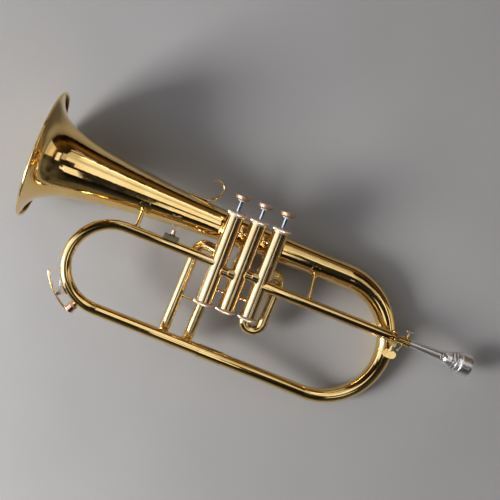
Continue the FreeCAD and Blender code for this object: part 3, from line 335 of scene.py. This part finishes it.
def make_materials():
    return {
        "lacquered_brass": polished_metal(
            "lacquered_brass", (0.92, 0.69, 0.32), (0.86, 0.61, 0.245), (0.20, 0.11, 0.035),
            0.06, 0.07, 0.00010),
        "casing_brass": polished_metal(
            "casing_brass", (0.92, 0.70, 0.40), (0.85, 0.61, 0.31), (0.18, 0.10, 0.05),
            0.12, 0.10, 0.00004, coat=0.15),
        "lever_brass": polished_metal(
            "lever_brass", (0.92, 0.70, 0.36), (0.86, 0.62, 0.28), (0.20, 0.11, 0.035),
            0.10, 0.10, 0.00004, tinted=(cup_middle(), CUP_REACH, CUP_COPPER)),
        "dull_brass": dull_metal(
            "dull_brass", (0.92, 0.80, 0.66), (0.78, 0.60, 0.44), (0.30, 0.19, 0.11),
            0.34, 0.18, 420.0, 0.00005),
        "button_brass": dull_metal(
            "button_brass", (0.74, 0.57, 0.44), (0.54, 0.38, 0.27), (0.20, 0.12, 0.08),
            0.40, 0.16, 380.0, 0.00005),
        "slide_brass": polished_metal(
            "slide_brass", (0.94, 0.76, 0.42), (0.80, 0.60, 0.28), (0.30, 0.20, 0.10),
            0.08, 0.14, 0.00008, specks=0.64),
        "tarnished_brass": dull_metal(
            "tarnished_brass", (0.44, 0.40, 0.28), (0.25, 0.23, 0.16), (0.09, 0.08, 0.05),
            0.30, 0.22, 300.0, 0.00005),
        # Its grooves get strong painted shade, as open_enough is high.
        "silver_plate": dull_metal(
            "silver_plate", (0.97, 0.96, 0.95), (0.88, 0.87, 0.87), (0.16, 0.14, 0.12),
            0.27, 0.07, 420.0, 0.0000006, clean=CLEAN_FROM_X,
            open_enough=0.95),
        "nickel_stem": polished_metal(
            "nickel_stem", (0.74, 0.80, 0.88), (0.62, 0.68, 0.76), (0.16, 0.15, 0.14),
            0.12, 0.10, 0.00004, coat=0.0),
        "monel_piston": dull_metal(
            "monel_piston", (0.74, 0.72, 0.68), (0.60, 0.58, 0.54), (0.24, 0.22, 0.19),
            0.16, 0.14, 260.0, 0.00001),
        "spring_steel": dull_metal(
            "spring_steel", (0.62, 0.62, 0.63), (0.46, 0.46, 0.47), (0.18, 0.14, 0.11),
            0.22, 0.16, 500.0, 0.00002),
        "felt": felt_material("felt", (0.80, 0.77, 0.69), (0.52, 0.49, 0.42)),
        "cork": cork_material("cork"),
    }


def node_slots():
    """Which material slot of the record each CAD node has."""
    return {row["node"]: row["material_slot"] for row in frame["record"]["subparts"]}


def look_of(node, slot):
    """The material of a CAD node, which for some is a variant of its slot's."""
    if node.startswith("finger_button"):
        return "button_brass"
    if node == "water_key_lever":
        return "lever_brass"
    if node in ("lyre_screw", "receiver_screw", "water_key_saddle"):
        return "dull_brass"
    if node.startswith(("first_slide", "third_slide")) and "brace" not in node:
        return "slide_brass"
    return slot


def dress_nodes(materials):
    """Give every CAD node its material."""
    for node, slot in node_slots().items():
        thing = frame["nodes"][node]
        thing.data.materials.clear()
        thing.data.materials.append(materials[look_of(node, slot)])


# ---- knurled caps -------------------------------------------------------------------------------
def valve_axis():
    """Direction of the valves, from their lower caps to their buttons."""
    press = next(joint for joint in frame["joints"] if joint["name"] == "valve_1_press")
    return -Vector(press["axis"]).normalized()


def turned_base(node, axis):
    """The point where the axis of a turned CAD node meets its lower end."""
    side = axis.orthogonal().normalized()
    other = axis.cross(side)
    points = [vertex.co for vertex in frame["nodes"][node].data.vertices]
    base = axis * min(point.dot(axis) for point in points)
    for way in (side, other):
        reach = [point.dot(way) for point in points]
        base = base + way * ((min(reach) + max(reach)) / 2)
    return base


def turned_piece(name, bases, axis, rings, ridges):
    """One mesh of equal turned pieces. A ring is a height, a radius and its knurl's depth, in mm."""
    side = axis.orthogonal().normalized()
    other = axis.cross(side)
    count = ridges * KNURL_STEPS
    shape = bmesh.new()
    for base in bases:
        loops = []
        for height, radius, depth in rings:
            loop = []
            for index in range(count):
                angle = 2 * math.pi * index / count
                dip = depth * (0.5 - 0.5 * math.cos(ridges * angle))
                out = side * math.cos(angle) + other * math.sin(angle)
                loop.append(shape.verts.new(base + axis * height * MM + out * (radius - dip) * MM))
            loops.append(loop)
        for low, high in zip(loops, loops[1:] + loops[:1]):
            for index in range(count):
                after = (index + 1) % count
                shape.faces.new((low[index], low[after], high[after], high[index]))
    bmesh.ops.recalc_face_normals(shape, faces=shape.faces)
    mesh = bpy.data.meshes.new(name)
    shape.to_mesh(mesh)
    shape.free()
    for polygon in mesh.polygons:
        polygon.use_smooth = True
    mesh.set_sharp_from_angle(angle=math.radians(SHARP_FROM))
    piece = bpy.data.objects.new(name, mesh)
    bpy.context.scene.collection.objects.link(piece)
    return piece


def make_caps(materials):
    """Top and bottom caps with knurled flanges, in the places of the plain CAD ones."""
    axis = valve_axis()
    bases = [turned_base(f"top_cap_{number}", axis) for number in (1, 2, 3)]
    for number, base in zip((1, 2, 3), bases):
        cap = turned_piece(f"knurled_top_cap_{number}", [base], axis, TOP_CAP_RINGS, KNURL_RIDGES)
        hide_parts(f"top_cap_{number}")
        finish_cap(cap, materials)
    low_bases = [base - axis * CAP_SPACING * MM for base in bases]
    caps = turned_piece("knurled_bottom_caps", low_bases, axis, LOW_CAP_RINGS, KNURL_RIDGES)
    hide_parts("bottom_caps")
    finish_cap(caps, materials)


def finish_cap(cap, materials):
    """Material and body of a cap."""
    cap.data.materials.append(materials["dull_brass"])
    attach(cap, "horn")


# ---- springs under the pistons ------------------------------------------------------------------
def make_springs(materials):
    """One spring in each casing."""
    axis = valve_axis()
    for number in (1, 2, 3):
        middle = turned_base(f"top_cap_{number}", axis)
        shape = bmesh.new()
        shape.from_mesh(frame["nodes"]["valve_springs"].data)
        far = [vertex for vertex in shape.verts
               if (vertex.co - middle).cross(axis).length > SPRING_REACH]
        bmesh.ops.delete(shape, geom=far, context="VERTS")
        mesh = bpy.data.meshes.new(f"valve_spring_{number}")
        shape.to_mesh(mesh)
        shape.free()
        mesh.materials.clear()
        mesh.materials.append(materials["spring_steel"])
        spring = bpy.data.objects.new(f"valve_spring_{number}", mesh)
        bpy.context.scene.collection.objects.link(spring)
        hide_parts("valve_springs")
        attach(spring, "horn")
        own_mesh(spring)


def make_key_spring(materials):
    """The wire spring of the water key, between its foot on the horn and the lever."""
    mesh = frame["nodes"]["water_key_spring"].data.copy()
    mesh.materials.clear()
    mesh.materials.append(materials["spring_steel"])
    spring = bpy.data.objects.new("water_key_wire", mesh)
    bpy.context.scene.collection.objects.link(spring)
    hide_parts("water_key_spring")
    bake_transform(spring)


# ---- bent straps --------------------------------------------------------------------------------
def rounded_copy(node, name):
    """A copy of a thin CAD node whose edges are rounded, as on a strap that was filed and buffed."""
    source = frame["nodes"][node]
    draft = bpy.data.objects.new(name + "_draft", source.data.copy())
    bpy.context.scene.collection.objects.link(draft)
    voxels = draft.modifiers.new("voxels", "REMESH")
    voxels.mode = "VOXEL"
    voxels.voxel_size = STRAP_VOXEL
    smooth = draft.modifiers.new("smooth", "SMOOTH")
    smooth.factor = 0.5
    smooth.iterations = STRAP_SMOOTHING
    evaluated = draft.evaluated_get(bpy.context.evaluated_depsgraph_get())
    mesh = bpy.data.meshes.new_from_object(evaluated)
    bpy.data.objects.remove(draft)
    for polygon in mesh.polygons:
        polygon.use_smooth = True
    piece = bpy.data.objects.new(name, mesh)
    bpy.context.scene.collection.objects.link(piece)
    return piece


def make_straps(materials):
    """Finger hook and water key lever, with their edges rounded."""
    for node, body in (("finger_hook", "horn"), ("water_key_lever", "water_key")):
        piece = rounded_copy(node, "rounded_" + node)
        slot = node_slots()[node]
        piece.data.materials.clear()
        piece.data.materials.append(materials[look_of(node, slot)])
        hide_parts(node)
        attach(piece, body)


# ---- studio -------------------------------------------------------------------------------------
def make_floor():
    """A plain pale disc with slight unevenness."""
    turns = [2 * math.pi * index / FLOOR_CORNERS for index in range(FLOOR_CORNERS)]
    rim = [(FLOOR_RADIUS * math.cos(turn), FLOOR_RADIUS * math.sin(turn), 0) for turn in turns]
    mesh = bpy.data.meshes.new("floor")
    mesh.from_pydata(rim, [], [tuple(range(FLOOR_CORNERS))])
    floor = bpy.data.objects.new("floor", mesh)
    bpy.context.scene.collection.objects.link(floor)
    make = Shader("floor")
    cloud = make.noise(2.2, 3.0)
    colour = make.mix(make.steps(cloud, 0.35, 0.68), FLOOR_LIGHT, FLOOR_DEEP)
    grain = make.noise(30.0, 3.0)
    rough = make.steps(grain, 0.3, 0.7, 0.70, 0.80)
    make.bsdf.inputs["Specular IOR Level"].default_value = 0.25
    floor.data.materials.append(make.finish(colour, rough, make.bump(grain, 0.00005), 0.0))


def soft_light(name, place, facing, size, glow, tint):
    """A rectangle that glows evenly. Glow is its radiance; the power follows from its area."""
    data = bpy.data.lights.new(name, "AREA")
    data.shape = "RECTANGLE"
    data.size, data.size_y = size
    data.energy = glow * math.pi * size[0] * size[1]
    data.color = tint
    light = bpy.data.objects.new(name, data)
    bpy.context.scene.collection.objects.link(light)
    light.location = place
    light.rotation_euler = Vector(facing).to_track_quat("-Z", "Y").to_euler()


def make_lights():
    """Soft ceiling panels and wall screens round the horn, a narrow bright strip and a low key."""
    for index, (west, east, near, far, glow, tint) in enumerate(CEILING_PANELS):
        middle = ((west + east) / 2, (near + far) / 2, CEILING_HEIGHT)
        soft_light(f"panel_{index}", middle, (0, 0, -1), (east - west, far - near), glow, tint)
    for index, screen in enumerate(WALL_SCREENS):
        soft_light(f"screen_{index}", *screen)
    soft_light("strip", *STRIP)
    soft_light("card", *CARD)
    soft_light("key", *KEY)


def wall_colour(tree, height, stops):
    """Colour of the walls by height above the horizon."""
    ramp = tree.nodes.new("ShaderNodeValToRGB")
    elements = ramp.color_ramp.elements
    while len(elements) < len(stops):
        elements.new(0.5)
    for element, (place, colour) in zip(elements, stops):
        element.position = place
        element.color = (*colour, 1.0)
    tree.links.new(height, ramp.inputs["Fac"])
    return ramp.outputs["Color"]


def make_world():
    """Dim patchy walls, neutral in front and brown behind; the camera itself sees a pale backdrop."""
    world = bpy.data.worlds.new("studio")
    bpy.context.scene.world = world
    world.use_nodes = True
    tree = world.node_tree
    background = tree.nodes["Background"]
    heading = tree.nodes.new("ShaderNodeTexCoord").outputs["Generated"]
    split = tree.nodes.new("ShaderNodeSeparateXYZ")
    tree.links.new(heading, split.inputs[0])
    side = tree.nodes.new("ShaderNodeMapRange")
    side.inputs["From Min"].default_value = -0.12
    side.inputs["From Max"].default_value = 0.10
    tree.links.new(split.outputs["Y"], side.inputs["Value"])
    walls = tree.nodes.new("ShaderNodeMix")
    walls.data_type = "RGBA"
    tree.links.new(side.outputs["Result"], walls.inputs[0])
    tree.links.new(wall_colour(tree, split.outputs["Z"], WALL_FRONT), walls.inputs[6])
    tree.links.new(wall_colour(tree, split.outputs["Z"], WALL_BACK), walls.inputs[7])
    patches = tree.nodes.new("ShaderNodeTexNoise")
    patches.inputs["Scale"].default_value = 2.6
    patches.inputs["Detail"].default_value = 3.0
    tree.links.new(heading, patches.inputs["Vector"])
    shares = tree.nodes.new("ShaderNodeMapRange")
    shares.inputs["From Min"].default_value = 0.38
    shares.inputs["From Max"].default_value = 0.66
    shares.inputs["To Min"].default_value, shares.inputs["To Max"].default_value = WALL_PATCHES
    tree.links.new(patches.outputs["Fac"], shares.inputs["Value"])
    patched = tree.nodes.new("ShaderNodeVectorMath")
    patched.operation = "SCALE"
    tree.links.new(walls.outputs[2], patched.inputs[0])
    tree.links.new(shares.outputs["Result"], patched.inputs["Scale"])
    ray = tree.nodes.new("ShaderNodeLightPath")
    seen = tree.nodes.new("ShaderNodeMix")
    seen.data_type = "RGBA"
    seen.inputs[7].default_value = (*BACKDROP, 1)
    tree.links.new(ray.outputs["Is Camera Ray"], seen.inputs[0])
    tree.links.new(patched.outputs["Vector"], seen.inputs[6])
    tree.links.new(seen.outputs[2], background.inputs["Color"])


def make_camera():
    """The camera looks almost straight down."""
    data = bpy.data.cameras.new("camera")
    data.lens = CAMERA_LENS
    data.sensor_width = 36.0
    data.clip_start = 0.02
    data.clip_end = 50.0
    camera = bpy.data.objects.new("camera", data)
    bpy.context.scene.collection.objects.link(camera)
    camera.location = CAMERA_PLACE
    camera.rotation_euler = [math.radians(angle) for angle in CAMERA_TURN]
    bpy.context.scene.camera = camera


bpy.context.scene.view_settings.view_transform = "Standard"
bpy.context.scene.view_settings.look = VIEW_LOOK
bpy.context.scene.view_settings.exposure = EXPOSURE
materials = make_materials()
dress_nodes(materials)
make_caps(materials)
make_straps(materials)
make_springs(materials)
make_key_spring(materials)
make_floor()
make_lights()
make_world()
make_camera()
